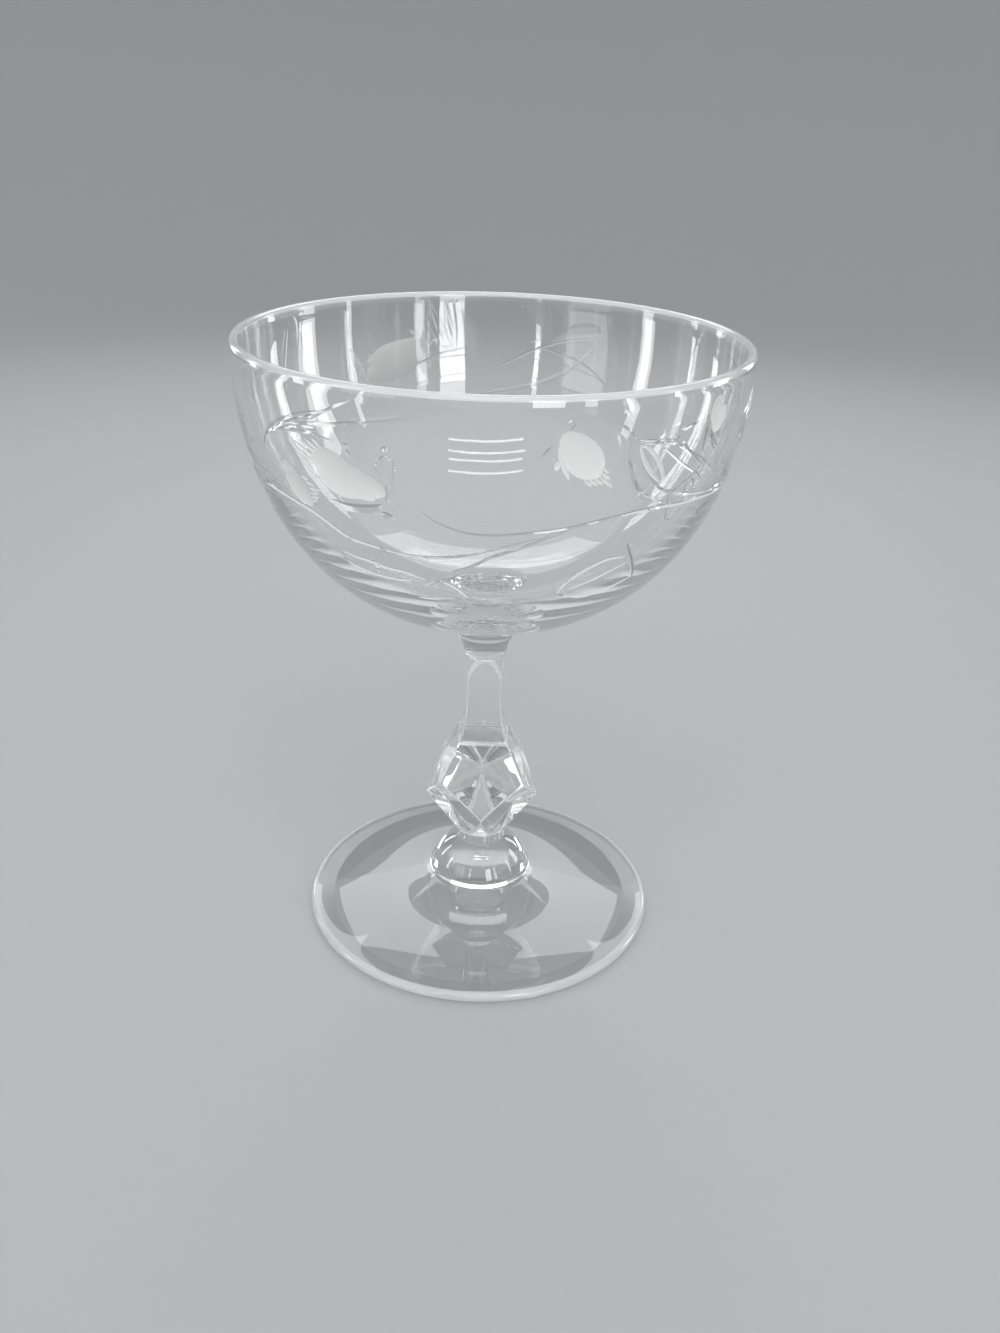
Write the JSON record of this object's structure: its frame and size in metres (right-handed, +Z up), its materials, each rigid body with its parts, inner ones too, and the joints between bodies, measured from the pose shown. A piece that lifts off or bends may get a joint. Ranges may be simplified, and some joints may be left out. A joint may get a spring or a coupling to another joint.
{
  "type": "coupe glass",
  "caption": "Clear stemmed coupe glass with a wide round bowl, a square-panelled neck over a faceted knop, a ball button and a broad coned foot.",
  "frame": {"origin": "centre of the foot on the plane that it stands on", "axes": "+Z up along the stem; +X and +Y square to two pairs of neck panels"},
  "size_m": [0.092, 0.092, 0.12],
  "materials": {
    "bowl_glass": "clear, fire-polished, with wheel-cut leaves",
    "stem_glass": "clear, flat-cut and polished",
    "foot_glass": "clear, fire-polished"
  },
  "bodies": {
    "root": {"bowl": "bowl_glass", "wafer": "stem_glass", "stem": "stem_glass", "button": "stem_glass", "foot": "foot_glass"}
  },
  "joints": []
}
